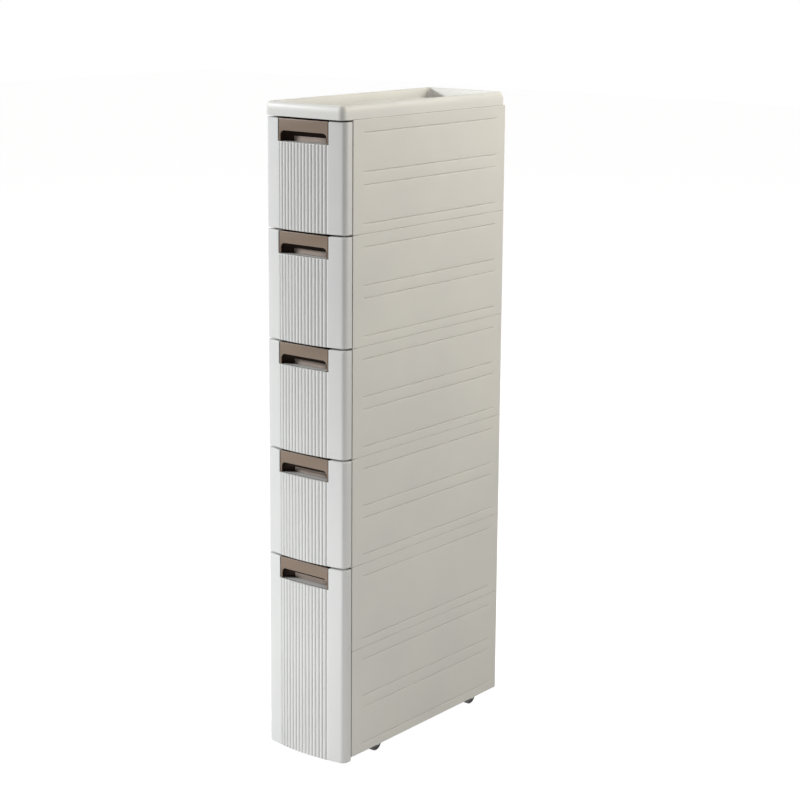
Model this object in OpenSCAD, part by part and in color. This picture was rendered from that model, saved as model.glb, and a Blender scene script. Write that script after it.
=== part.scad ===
// Slim drawer tower on casters: six stacked frame tiers, four shallow drawers, one deep drawer, tray lid.
// Millimetres. +Z up, drawers open towards -Y, origin on the ground under the middle of the tower.

/* [Cabinet] */
// Width of the cabinet over its side panels
cabinet_w = 180; // [170:1:220]
// Depth of the cabinet from its front edge to its back edge
cabinet_d = 440; // [380:1:520]
// Height of a standard frame tier, which holds one shallow drawer
tier_h = 196; // [180:1:220]
// Height of the short tier that deepens the bottom bay
extension_h = 155.5; // [148:0.5:200]
// Height of the lowest tier, which carries the base
base_tier_h = 198.5; // [180:0.5:220]
// Space between the ground and the lower edge of the side panels
ground_gap = 26; // [24:0.5:30]
// Number of shallow drawers above the deep one
shallow_count = 4; // [4:1:4]

/* [Side and back panels] */
// Wall of a side panel
panel_t = 3; // [2.5:0.1:4]
// Depth of the flange that runs round the inside of a side panel
flange_d = 9; // [7:0.5:10]
// Thickness of that flange
flange_t = 3; // [2.5:0.1:5]
// Depth of the grooves that frame the fields of an outer face
line_d = 1; // [0.5:0.1:1.4]
// Width of those grooves
line_w = 2.2; // [1.4:0.1:3.5]
// Distance from the front edge of a side panel to its grooves
field_front = 28; // [18:1:40]
// Distance from the back edge of a side panel to its grooves
field_back = 27; // [14:1:40]
// Band above the upper field of a tier
field_top = 24; // [16:0.5:28]
// Band between the two fields of a standard tier
field_between = 22.5; // [16:0.5:28]
// Band below the lower field of a tier
field_bottom = 16; // [12:0.5:24]
// Thickness of a back panel
back_t = 3; // [2:0.1:5]
// Distance from the back edge of the cabinet to a back panel
back_inset = 6; // [5:0.5:9]
// Length of a tenon that locates the tier above
tenon_l = 16; // [8:1:30]
// Height of a tenon
tenon_h = 3; // [2:0.5:5]
// Distance from the outermost tenons to the nearer edge of their panel
tenon_end = 60; // [30:5:90]
// Thickness of the upright ribs inside a side panel
side_rib_t = 2; // [1.5:0.1:3]

/* [Shelves and base] */
// Thickness of a shelf frame
shelf_t = 6; // [5:0.5:8]
// Width of the border and bars of a shelf frame
shelf_bar = 16; // [12:1:20]
// Height of a runner above the shelf frame or base
runner_h = 3; // [2.5:0.1:5]
// Width of a runner
runner_w = 8; // [6:0.5:12]
// Distance of a runner's middle from the outer side of a bin's wall
runner_inset = 14; // [10:0.5:26]
// Thickness of the base plate
base_t = 4; // [3:0.5:6]
// Height of the ribs that stiffen the base plate
base_rib_h = 13; // [12:0.5:16]
// Thickness of those ribs
base_rib_t = 3; // [2:0.1:4]
// Length of a tab that keys a shelf frame or the base into the side panels
tab_l = 20; // [10:1:30]
// Width of such a tab
tab_d = 5.5; // [4.4:0.1:5.8]
// Height of such a tab
tab_h = 4; // [2:0.5:4]

/* [Drawers] */
// Space between the rim of a drawer bin and the side panels
bin_side_gap = 2; // [1:0.1:6]
// Wall of a drawer bin
bin_t = 2.2; // [1.8:0.1:3]
// Space between the top of a bin and the upper edge of its bay
bin_headroom = 22; // [12:1:80]
// Distance between a bin's back wall and the back panel
bin_back_gap = 8; // [6:1:30]
// Width of the rim that turns outwards along the top of a bin
rim_w = 3; // [2:0.1:3.5]
// Thickness of that rim
rim_t = 2; // [1.5:0.1:3]
// Outer radius of a bin's upright edges
bin_r = 8; // [5:0.5:12]
// How far a drawer pulls out
drawer_travel = 320; // [200:1:330]
// Width of the tab under a bin that meets the stop
stop_w = 24; // [16:1:40]
// Length along Y of the tab and of the stop
stop_l = 4; // [3:0.5:6]

/* [Drawer fronts] */
// Depth of a front at its upright edges
front_side_d = 21; // [19:0.5:28]
// How far the middle of a front bows out past its upright edges
bow = 8.5; // [5:0.5:12]
// Radius of the upright edges of a front
front_r = 11; // [6:0.5:14]
// Wall of a front
front_t = 2.5; // [2:0.1:3]
// Gap between one front and the next
front_gap = 3; // [2:0.1:4]
// Gap between a front and the front edge of the cabinet
front_back_gap = 2.5; // [2:0.1:4]
// How far the lowest front hangs below the side panels
front_drop = 7; // [0:0.5:10]
// Number of upright ribs on a front
rib_count = 14; // [8:1:14]
// Distance from one rib to the next
rib_pitch = 7.56; // [6:0.02:7.6]
// How far a rib stands out of the bow
rib_rise = 1; // [0.6:0.1:1.6]
// Depth of the grooves between the ribs, below the bow
rib_groove = 0.8; // [0.3:0.1:1]
// Width of the groove beyond the outermost rib on each side
rib_end = 1.2; // [0.6:0.1:1.6]

/* [Handles] */
// Width of a handle insert
handle_w = 111; // [90:1:120]
// Gap between a handle insert and each side of its niche
handle_gap = 0.6; // [0.3:0.1:1]
// Height of a handle insert, and of the niche that holds it
handle_h = 39.5; // [34:0.5:50]
// Distance of the handle's face in front of the cabinet's front edge
handle_y = 25.5; // [24:0.5:28]
// Wall of a handle insert
handle_t = 2.4; // [2:0.1:3]
// Height of the finger slot
slot_h = 18.5; // [15:0.5:22]
// Width of the arm on each side of the finger slot
arm_w = 3.5; // [3:0.5:8]
// Radius of the finger slot's upper corners
slot_r = 8; // [4:0.5:10]
// Radius of the finger pocket's back corners
pocket_r = 13.5; // [4:0.5:13.5]

/* [Lid] */
// Height of the lid
lid_h = 24.5; // [20:0.5:32]
// How much narrower than the cabinet the lid is on each side
lid_inset = 1; // [0:0.5:3]
// Distance of the lid's front in front of the cabinet's front edge
lid_front = 26; // [22:0.5:32]
// Height of the tray's floor above the top tier
lid_floor = 5.5; // [5:0.5:14]
// Width of the rim round the tray
tray_rim = 9; // [8:0.5:14]
// Wall of the lid
lid_t = 2.5; // [2:0.1:2.8]
// Width of the round on the lid's upper edge
lid_edge_r = 6; // [4:0.5:7]
// Height of that round
lid_edge_h = 10; // [4:0.5:14]
// Radius of the lid's front corners, seen from above
lid_corner_r = 12; // [8:0.5:24]
// Radius of the lid's rear corners, seen from above
lid_back_r = 7.5; // [7.5:0.5:14]
// Radius of the tray's corners
tray_r = 8; // [4:0.5:14]
// Depth of the locating rim below the lid
lid_plug_h = 7; // [4:0.5:12]
// Height of the gap between the lid and the top front
lid_gap = 3; // [2:0.1:4]

/* [Casters] */
// Radius of a caster's wheel
wheel_r = 15; // [12:0.5:15]
// Width of a caster's wheel
wheel_w = 10; // [8:0.5:12]
// Distance of a caster's stem from the side of the cabinet
caster_side = 29; // [28:1:42]
// Distance of a front wheel behind the cabinet's front edge
wheel_front_y = 100; // [60:1:140]
// Distance of a back wheel from the cabinet's back edge
wheel_back = 48; // [44:1:120]
// Distance of a wheel's axle behind its stem
trail = 6; // [4:0.5:7]
// Radius of a caster's stem
stem_r = 4; // [3:0.1:5]
// Radius of a wheel's axle
axle_r = 2; // [1.5:0.1:2.5]
// Wall of the socket that takes a caster's stem
socket_wall = 5; // [3:0.5:8]
// Solid plate above the end of a caster's stem
socket_roof = 3; // [2:0.5:5]
// Thickness of a fork's cheek
cheek_t = 2.4; // [2:0.1:3]
// Thickness of the bridge that joins a fork's cheeks
bridge_t = 4.7; // [3.5:0.1:6]
// Radius of the fork's round head
fork_r = 11; // [9:0.5:12]
// Radius of the eye round an axle
eye_r = 5; // [4:0.5:6]
// Space between a wheel and its fork's cheeks
wheel_side_gap = 0.8; // [0.6:0.1:1.5]
// Space between a wheel and its fork's bridge
wheel_top_gap = 1.5; // [1:0.1:3]
// Wall of a wheel's hub
hub_wall = 2.5; // [1.5:0.1:3.5]
// How far a hub stands out past the wheel's flanks
hub_out = 0.5; // [0:0.1:0.5]
// Thickness of a wheel's tread
tread_t = 3; // [2:0.1:5]
// Thickness and overhang of an axle's heads
axle_head = 1.2; // [0.8:0.1:2]

/* [Fits] */
// Gap between a clipped piece and the piece that holds it
clip_gap = 0.2; // [0.1:0.05:0.3]
// Gap between a sliding or turning face and its seat
slide_gap = 0.3; // [0.2:0.05:0.4]
// Radial gap of a pin in its hole
pin_gap = 0.05; // [0.02:0.01:0.1]

/* [Hidden] */
$fn = 64;

white = "#e6e4dc";
taupe = "#9b877b";
dark_grey = "#3a3a3c";
steel = "#b8bcc0";

// Half widths, counted from the middle of the cabinet
half_w = cabinet_w / 2;
flange_x = half_w - flange_d;

// Tiers are numbered from the top; the extension is the fifth and the lowest is the sixth
tier_count = shallow_count + 2;
function tier_height(n) =
  n == tier_count ? base_tier_h : n == shallow_count + 1 ? extension_h : tier_h;
function tier_top(n) = n == 0 ? 0 : tier_top(n - 1) + tier_height(n);
body_top = ground_gap + tier_top(tier_count);
// Height of the upper edge of tier n + 1, which is the lower edge of tier n
function seam_z(n) = body_top - tier_top(n);

// Bays are numbered from the top; the last one takes two tiers
bay_count = shallow_count + 1;
function bay_top(n) = seam_z(n - 1);
function bay_bottom(n) = n < bay_count ? seam_z(n) : ground_gap;

// The middle of the overall depth lies on the origin
front_reach = front_side_d + bow + rib_rise;
middle_y = (cabinet_d - front_reach) / 2;

// Back panels slide down grooves between two lips of each side panel
back_y = cabinet_d - back_inset - back_t;

// Shelf frames and the base reach from just behind the front edge to the back panel
shelf_y = 1;
shelf_d = back_y - clip_gap - shelf_y;
shelf_cells = 4;
tab_y = [cabinet_d * 0.4, cabinet_d * 0.75];

// Casters
caster_x = half_w - caster_side;
wheel_back_y = cabinet_d - wheel_back;

// Base plate and what stands on it
fork_under = 2 * wheel_r + wheel_top_gap;
fork_top = fork_under + bridge_t;
base_z = fork_top + slide_gap;
base_top = base_z + base_t + base_rib_h;
socket_r = stem_r + socket_wall;
stem_h = base_t + base_rib_h - socket_roof;

// Bins
bin_w = 2 * (flange_x - bin_side_gap - rim_w);
runner_x = bin_w / 2 - runner_inset;
bin_front_y = -front_back_gap;
bin_back_y = back_y - bin_back_gap;
function support_z(n) = n < bay_count ? bay_bottom(n) + shelf_t / 2 : base_top;
function bin_z(n) = support_z(n) + runner_h + slide_gap;
function bin_height(n) = bay_top(n) - bin_headroom - bin_z(n);
tab_inset = 10;
stop_h = runner_h - slide_gap;
stop_y = bin_back_y - tab_inset - drawer_travel - slide_gap;

// Fronts: the bow is an arc of a circle through both upright edges
bow_half = half_w - 6;
bow_r = (bow_half * bow_half + bow * bow) / (2 * bow);
bow_cy = bow_r - front_side_d - bow;
// The round of a rib dips a little below the floor of the grooves, so that the outlines cross
rib_sag = rib_rise + rib_groove + 0.1;
rib_r = (rib_pitch * rib_pitch / 4 + rib_sag * rib_sag) / (2 * rib_sag);
rib_step = 180 / PI * rib_pitch / bow_r;
function front_top(n) = n == 1 ? bay_top(1) - lid_gap : bay_top(n) - front_gap / 2;
function front_bottom(n) = n < bay_count ? bay_bottom(n) + front_gap / 2 : ground_gap - front_drop;
function front_h(n) = front_top(n) - front_bottom(n);
// The circle of a round corner is this much larger than a tangent one, so that the outlines cross
corner_cross = 0.02;
ledge_y = -front_back_gap - front_t - clip_gap;
niche_half = handle_w / 2 + handle_gap;

// Wheels and forks
fork_half = wheel_w / 2 + wheel_side_gap + cheek_t;
side_of = [-1, 1];

module in_place() {
  translate([0, -middle_y, 0]) children();
}

// A rectangle with rounded corners, from its lowest corner
module rounded_rect(size, r) {
  translate([r, 0]) square([size[0] - 2 * r, size[1]]);
  translate([0, r]) square([size[0], size[1] - 2 * r]);
  for (x = [r, size[0] - r], y = [r, size[1] - r]) translate([x, y]) circle(r);
}

// ---------------------------------------------------------------- side panels

// Heights of a tier's fields as [bottom, top] pairs, counted from the tier's lower edge
function fields(h) =
  let (low = field_bottom, high = h - field_top, band = (high - low - field_between) / 2)
  h < min(tier_h, base_tier_h) ? [[low, high]] : [[low, low + band], [high - band, high]];

// Outline of a groove of length l with round ends, centred on y = 0
module line_plan(l) {
  translate([line_w / 2, -line_w / 2]) square([l - line_w, line_w]);
  for (x = [line_w / 2, l - line_w / 2]) translate([x, 0]) circle(line_w / 2);
}

// Right-hand side panel of height h with its outer face at x = half_w and its lower edge at z = 0
module side_panel(h) {
  rib_y = [cabinet_d / 3, cabinet_d * 2 / 3];
  tenon_y = [tenon_end, cabinet_d / 2, cabinet_d - tenon_end];
  tenon = [flange_d - panel_t - 3, tenon_l, tenon_h];
  difference() {
    union() {
      translate([half_w - panel_t, 0, 0]) cube([panel_t, cabinet_d, h]);
      // Flange round all four edges
      for (z = [0, h - flange_t]) translate([flange_x, 0, z]) cube([flange_d, cabinet_d, flange_t]);
      for (y = [0, back_y - flange_t, back_y + back_t])
        translate([flange_x, y, 0]) cube([flange_d, flange_t, h]);
      // Upright stiffening ribs
      for (y = rib_y) translate([flange_x + 2, y - side_rib_t / 2, 0]) cube([flange_d - 3, side_rib_t, h]);
    }
    // Grooves along the lower and upper end of each field
    for (f = fields(h), z = f)
      translate([half_w - line_d, field_front, z]) rotate([90, 0, 90])
        linear_extrude(line_d + 1) line_plan(cabinet_d - field_front - field_back);
    // Groove for the back panel, closed below by the flange
    translate([flange_x - 1, back_y, flange_t]) cube([flange_d - panel_t + 1, back_t, h]);
    // Notches in the upper and lower flange for the tabs of the shelf frames
    for (y = tab_y, z = [0, h])
      translate([flange_x - 1, y - tab_l / 2 - clip_gap, z - tab_h / 2])
        cube([tab_d + clip_gap + 1, tab_l + 2 * clip_gap, tab_h]);
    // Sockets that take the tenons of the tier below
    for (y = tenon_y)
      translate([flange_x + 1 - clip_gap, y - tenon[1] / 2 - clip_gap, -1])
        cube([tenon[0] + 2 * clip_gap, tenon[1] + 2 * clip_gap, tenon[2] + 1 + clip_gap]);
  }
  // Tenons that locate the tier above
  for (y = tenon_y)
    translate([flange_x + 1, y - tenon[1] / 2, h]) cube(tenon);
}

module right_panel(n) {
  color(white) in_place() translate([0, 0, seam_z(n)]) side_panel(tier_height(n));
}

module left_panel(n) {
  mirror([1, 0, 0]) right_panel(n);
}

// ---------------------------------------------------------------- back panels

module back_panel(n) {
  h = tier_height(n);
  w = 2 * (half_w - panel_t - clip_gap);
  t = back_t - clip_gap;
  corner_w = flange_d - panel_t;
  margin = 2 * flange_d;
  color(white) in_place() translate([-w / 2, back_y, seam_z(n)]) difference() {
    cube([w, t, h]);
    // Lower corners, which stand on the flanges of the side panels
    for (x = [-1, w - corner_w]) translate([x, -1, -1]) cube([corner_w + 1, back_t + 1, flange_t + 1]);
    // Grooves like those of the side panels
    for (f = fields(h), z = f)
      translate([margin, t + 1, z]) rotate([90, 0, 0]) linear_extrude(line_d + 1) line_plan(w - 2 * margin);
  }
}

// ---------------------------------------------------------------- shelves and base

// Runners for one drawer, standing on z = 0
module runners(l) {
  for (s = side_of) translate([s * runner_x - runner_w / 2, 0, 0]) cube([runner_w, l, runner_h]);
}

// Stop behind the front border that catches the tab of a drawer, standing on z = 0
module drawer_stop() {
  translate([-stop_w / 2, stop_y - stop_l, 0]) cube([stop_w, stop_l, stop_h - slide_gap]);
}

// Web of height h that carries the stop
module stop_web(h) {
  translate([-stop_w / 2 - 4, stop_y - stop_l - 4, 0]) cube([stop_w + 8, stop_l + 8, h]);
}

module shelf(n) {
  cell_w = runner_x - runner_w / 2 - 2 - shelf_bar / 2;
  cell_pitch = (shelf_d - shelf_bar) / shelf_cells;
  color(white) in_place() translate([0, 0, seam_z(n)]) {
    difference() {
      translate([-flange_x, shelf_y, -shelf_t / 2]) cube([2 * flange_x, shelf_d, shelf_t]);
      for (s = side_of, i = [0 : shelf_cells - 1])
        translate([s * (shelf_bar + cell_w) / 2 - cell_w / 2, shelf_y + shelf_bar + i * cell_pitch, -shelf_t])
          cube([cell_w, cell_pitch - shelf_bar, 2 * shelf_t]);
    }
    // Tabs that lie in the notches of the side panels' flanges
    for (s = side_of, y = tab_y)
      translate([s > 0 ? flange_x - 1 : -flange_x - tab_d, y - tab_l / 2, -tab_h / 2])
        cube([tab_d + 1, tab_l, tab_h]);
    translate([0, 0, -shelf_t / 2]) stop_web(shelf_t);
    translate([0, shelf_y, shelf_t / 2]) runners(shelf_d);
    translate([0, 0, shelf_t / 2]) drawer_stop();
  }
}

function caster_stem(front, s) = [s * caster_x, (front ? wheel_front_y : wheel_back_y) - trail, base_z];

module base() {
  h = base_top - base_z;
  foot_z = ground_gap + flange_t;
  color(white) in_place() difference() {
    union() {
      translate([-flange_x, shelf_y, base_z]) cube([2 * flange_x, shelf_d, base_t]);
      // Ribs round the edge, under the runners and across
      for (s = side_of) {
        translate([s * (flange_x - base_rib_t / 2) - base_rib_t / 2, shelf_y, base_z])
          cube([base_rib_t, shelf_d, h]);
        translate([s * runner_x - runner_w / 2, shelf_y, base_z]) cube([runner_w, shelf_d, h]);
      }
      for (i = [0 : 3])
        translate([-flange_x, shelf_y + i * (shelf_d - base_rib_t) / 3, base_z])
          cube([2 * flange_x, base_rib_t, h]);
      // Feet that stand on the lowest flanges
      for (s = side_of, y = tab_y)
        translate([s > 0 ? flange_x - base_rib_t : -flange_x - tab_d, y - tab_l / 2, foot_z])
          cube([base_rib_t + tab_d, tab_l, base_z + base_t - foot_z]);
      translate([0, 0, base_z]) stop_web(h);
      translate([0, shelf_y, base_top]) runners(shelf_d);
      translate([0, 0, base_top]) drawer_stop();
      for (front = [true, false], s = side_of) translate(caster_stem(front, s)) cylinder(r = socket_r, h = h);
    }
    // Blind bores for the caster stems
    for (front = [true, false], s = side_of)
      translate(caster_stem(front, s) - [0, 0, 1]) cylinder(r = stem_r + pin_gap, h = stem_h + 2);
  }
}

// ---------------------------------------------------------------- drawer bins

module bin(n) {
  h = bin_height(n);
  l = bin_back_y - bin_front_y;
  plate_half = half_w - front_t - clip_gap;
  plate_z = front_bottom(n) + front_t + clip_gap;
  plate_h = front_h(n) - 2 * front_t - 2 * clip_gap;
  color(white) in_place() {
    difference() {
      union() {
        // Box, square at the front where it joins the mounting plate
        translate([-bin_w / 2, bin_front_y, bin_z(n)]) linear_extrude(h) {
          rounded_rect([bin_w, l], bin_r);
          square([bin_w, bin_r]);
        }
        // Rim that turns outwards
        translate([-bin_w / 2 - rim_w, bin_front_y, bin_z(n) + h - rim_t])
          linear_extrude(rim_t) rounded_rect([bin_w + 2 * rim_w, l + rim_w], bin_r + rim_w);
        // Mounting plate that the front is clipped to
        translate([-plate_half, -front_back_gap - front_t, plate_z]) cube([2 * plate_half, front_t, plate_h]);
      }
      translate([-bin_w / 2 + bin_t, bin_front_y + bin_t, bin_z(n) + bin_t])
        linear_extrude(h) rounded_rect([bin_w - 2 * bin_t, l - 2 * bin_t], bin_r - bin_t);
    }
    // Tab under the back that meets the stop
    translate([-stop_w / 2, bin_back_y - tab_inset, bin_z(n) - stop_h]) cube([stop_w, stop_l, stop_h]);
  }
}

// ---------------------------------------------------------------- drawer fronts

// Middle of the round corner between the bow and an upright side, for an outline set in by e
function corner(e) =
  let (r = front_r - e, x = half_w - front_r)
  [x, bow_cy - sqrt(pow(bow_r - front_r, 2) - x * x), r];

// What a round corner takes off the sharp corner of the right-hand side
module corner_waste(e) {
  c = corner(e);
  middle = [c[0], c[1]];
  far = 3 * front_r;
  tangent = (middle - [0, bow_cy]) / norm(middle - [0, bow_cy]);
  difference() {
    polygon([middle, middle + far * tangent, middle + [far, -far], middle + [far, 0]]);
    translate(middle) circle(c[2] + corner_cross);
  }
}

// Plan of a front, set in by e, up to y = back
module front_plan(e, back) {
  difference() {
    intersection() {
      translate([0, bow_cy]) circle(bow_r - e, $fn = 256);
      translate([-half_w + e, -2 * front_reach]) square([2 * (half_w - e), 2 * front_reach + back]);
    }
    for (m = [0, 1]) mirror([m, 0]) corner_waste(e);
  }
}

// Upright half-round ribs that follow the bow
module rib_plan() {
  for (i = [0 : rib_count - 1])
    translate([0, bow_cy]) rotate((i - (rib_count - 1) / 2) * rib_step)
      translate([0, -(bow_r + rib_rise - rib_r)]) circle(rib_r);
}

// Band of the bow that is sunk by the depth of the grooves, under all ribs and a little beyond them
module groove_plan() {
  angle = rib_count * rib_step / 2 + 180 / PI * rib_end / bow_r;
  far = 2 * bow_r;
  translate([0, bow_cy]) difference() {
    polygon([[0, 0], far * [-sin(angle), -cos(angle)], far * [sin(angle), -cos(angle)]]);
    circle(bow_r - rib_groove, $fn = 256);
  }
}

module front(n) {
  h = front_h(n);
  ledge_z = h - handle_h;
  far = cabinet_w;
  color(white) in_place() translate([0, 0, front_bottom(n)]) difference() {
    union() {
      linear_extrude(h) difference() {
        front_plan(0, -front_back_gap);
        groove_plan();
      }
      linear_extrude(ledge_z) rib_plan();
    }
    // Hollow behind the bow, all but the walls round the niche
    difference() {
      translate([0, 0, front_t]) linear_extrude(h - 2 * front_t) front_plan(front_t, 0);
      translate([-niche_half - front_t, -far, ledge_z - front_t])
        cube([2 * (niche_half + front_t), 2 * far, h]);
    }
    // Seat of the bin's mounting plate
    translate([-half_w + front_t, ledge_y, front_t]) cube([2 * (half_w - front_t), far, h - 2 * front_t]);
    // Niche that holds the handle
    translate([-niche_half, -far / 2, ledge_z]) cube([2 * niche_half, far, handle_h + 1]);
  }
}

// ---------------------------------------------------------------- handles

// Plan with square front corners and round back corners, centred on x = 0
module back_round(size, r) {
  half = size[0] / 2;
  intersection() {
    translate([-half, 0]) square(size);
    union() {
      translate([-half, 0]) square([size[0], size[1] - r]);
      translate([r - half, 0]) square([size[0] - 2 * r, size[1]]);
      for (s = side_of) translate([s * (half - r), size[1] - r]) circle(r);
    }
  }
}

module handle(n) {
  depth = handle_y + ledge_y;
  h = handle_h - clip_gap;
  slot_half = handle_w / 2 - arm_w;
  color(taupe) in_place() translate([0, -handle_y, front_top(n) - handle_h + clip_gap]) difference() {
    linear_extrude(h) back_round([handle_w, depth], pocket_r + handle_t);
    // Pocket for the fingers, open below on to the ledge
    translate([0, handle_t, -1]) linear_extrude(h - handle_t + 1)
      back_round([handle_w - 2 * handle_t, depth - 2 * handle_t], pocket_r);
    // Finger slot with round upper corners
    rotate([90, 0, 0]) translate([-slot_half, -slot_r - 1, -handle_t - 1])
      linear_extrude(handle_t + 2) rounded_rect([2 * slot_half, slot_h + slot_r + 1], slot_r);
  }
}

// ---------------------------------------------------------------- lid

// Solid slab with a round upper edge, from y = front to y = back
module lid_slab(half, front, back, corner_front, corner_back) {
  hull() for (s = side_of) {
    translate([s * (half - corner_front), front + corner_front, 0]) lid_corner(corner_front);
    translate([s * (half - corner_back), back - corner_back, 0]) lid_corner(corner_back);
  }
}

module lid_corner(r) {
  cylinder(r = r, h = lid_h - lid_edge_h, $fn = 32);
  translate([0, 0, lid_h - lid_edge_h]) rotate_extrude($fn = 32)
    intersection() {
      translate([r - lid_edge_r, 0]) scale([1, lid_edge_h / lid_edge_r]) circle(lid_edge_r, $fn = 24);
      square([r, lid_edge_h]);
    }
  cylinder(r = r - lid_edge_r, h = lid_h, $fn = 32);
}

module lid() {
  half = half_w - lid_inset;
  back = cabinet_d - lid_inset;
  tray_size = [2 * (half - tray_rim), back + lid_front - 2 * tray_rim];
  plug_half = flange_x - clip_gap;
  plug_y = 2;
  plug_d = back_y - 2 * plug_y;
  roof_z = lid_floor - lid_t;
  color(white) in_place() translate([0, 0, body_top]) {
    difference() {
      lid_slab(half, -lid_front, back, lid_corner_r, lid_back_r);
      // Tray
      translate([-half + tray_rim, -lid_front + tray_rim, lid_floor])
        linear_extrude(lid_h) rounded_rect(tray_size, tray_r);
      // Hollow underside
      translate([-half + lid_t, -lid_front + lid_t, -1]) linear_extrude(roof_z + 1)
        rounded_rect([2 * (half - lid_t), back + lid_front - 2 * lid_t], lid_corner_r - lid_t);
    }
    // Locating rim inside the top tier
    translate([0, plug_y, -lid_plug_h]) linear_extrude(lid_plug_h + roof_z) difference() {
      translate([-plug_half, 0]) square([2 * plug_half, plug_d]);
      translate([-plug_half + lid_t, lid_t]) square([2 * (plug_half - lid_t), plug_d - 2 * lid_t]);
    }
  }
}

// ---------------------------------------------------------------- casters

module at_caster(front, s) {
  in_place() translate([s * caster_x, (front ? wheel_front_y : wheel_back_y), wheel_r]) children();
}

// Everything below is laid out from the middle of the wheel, with the stem at y = -trail
module fork(front, s) {
  bridge_z = fork_under - wheel_r;
  color(dark_grey) at_caster(front, s) difference() {
    union() {
      translate([0, -trail, bridge_z]) cylinder(r = fork_r, h = bridge_t);
      translate([-fork_half, -trail, bridge_z]) cube([2 * fork_half, trail + eye_r + 1, bridge_t - 1]);
      translate([0, -trail, fork_top - wheel_r - 1]) cylinder(r = stem_r, h = stem_h + 1);
      for (c = side_of) translate([c > 0 ? fork_half - cheek_t : -fork_half, 0, 0]) rotate([90, 0, 90])
        linear_extrude(cheek_t) {
          circle(eye_r);
          polygon([[-eye_r, 0], [eye_r, 0], [eye_r + 1, bridge_z + 1], [-trail - eye_r, bridge_z + 1]]);
        }
    }
    rotate([0, 90, 0]) cylinder(r = axle_r + pin_gap, h = 4 * fork_half, center = true);
  }
}

module axle(front, s) {
  color(steel) at_caster(front, s) rotate([0, 90, 0]) {
    cylinder(r = axle_r, h = 2 * fork_half + axle_head, center = true);
    for (e = [0, 1]) mirror([0, 0, e])
      translate([0, 0, fork_half + slide_gap / 2]) cylinder(r = axle_r + axle_head, h = axle_head);
  }
}

module wheel(front, s) {
  half = wheel_w / 2;
  hub_r = axle_r + hub_wall;
  web = half - 1.5;
  // One side of the section, from the bore over the hub and the web to the tread
  one_side = [
    [axle_r + pin_gap, half + hub_out], [hub_r, half + hub_out], [hub_r, web],
    [wheel_r - tread_t - 0.5, web], [wheel_r - tread_t, half], [wheel_r - 1, half], [wheel_r, half - 1],
  ];
  last = len(one_side) - 1;
  other_side = [for (i = [last : -1 : 0]) [one_side[i][0], -one_side[i][1]]];
  color(dark_grey) at_caster(front, s) rotate([0, 90, 0])
    rotate_extrude() polygon(concat(one_side, other_side));
}

// ---------------------------------------------------------------- nodes

lid();
for (n = [1 : tier_count]) {
  left_panel(n);
  right_panel(n);
  back_panel(n);
}
for (n = [1 : shallow_count]) shelf(n);
base();
for (n = [1 : bay_count]) {
  bin(n);
  front(n);
  handle(n);
}
for (front = [true, false], s = side_of) {
  place = str(front ? "front" : "back", s > 0 ? "_right" : "_left");
  fork(front, s);
  axle(front, s);
  wheel(front, s);
}
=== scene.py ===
"""Slim drawer tower: looks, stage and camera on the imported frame, laid out as an add-on."""

import math

import bmesh
import bpy
import numpy as np
from mathutils import Matrix, Vector


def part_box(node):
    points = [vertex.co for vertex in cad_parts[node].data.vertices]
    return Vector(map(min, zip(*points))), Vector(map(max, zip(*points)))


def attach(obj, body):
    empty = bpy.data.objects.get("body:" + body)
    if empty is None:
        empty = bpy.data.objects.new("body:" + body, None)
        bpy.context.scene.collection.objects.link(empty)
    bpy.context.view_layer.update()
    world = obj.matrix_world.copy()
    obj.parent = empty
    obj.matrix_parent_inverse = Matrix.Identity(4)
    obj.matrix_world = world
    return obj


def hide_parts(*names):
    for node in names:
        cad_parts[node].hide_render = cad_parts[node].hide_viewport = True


bl_info = {
    "name": "Slim drawer tower",
    "version": (1, 0, 0),
    "blender": (4, 5, 0),
    "location": "View3D > Sidebar > Tower",
    "description": "Rounded fronts, handles, lid, side panels and moulded plastic for a slim drawer tower",
    "category": "Object",
}

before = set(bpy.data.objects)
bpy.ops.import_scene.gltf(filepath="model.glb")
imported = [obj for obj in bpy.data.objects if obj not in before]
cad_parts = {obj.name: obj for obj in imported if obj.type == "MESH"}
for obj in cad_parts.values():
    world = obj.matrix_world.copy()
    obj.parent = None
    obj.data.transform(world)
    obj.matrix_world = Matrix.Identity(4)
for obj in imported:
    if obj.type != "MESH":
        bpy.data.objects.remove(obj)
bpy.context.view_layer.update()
MM = 0.001
BAYS = 5
TIERS = 6
CORNERS = ("front_left", "front_right", "back_left", "back_right")


def corners_of(node):
    """Lowest and highest corner of a node, in millimetres."""
    low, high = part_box(node)
    return np.array(low) / MM, np.array(high) / MM


# Front edge and back edge of the cabinet, and half its width, taken from a side panel
PANEL_LOW, PANEL_HIGH = corners_of("right_panel_1")
EDGE_Y, BACK_Y, HALF_W = PANEL_LOW[1], PANEL_HIGH[1], PANEL_HIGH[0]


# ------------------------------------------------------------------ values


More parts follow.
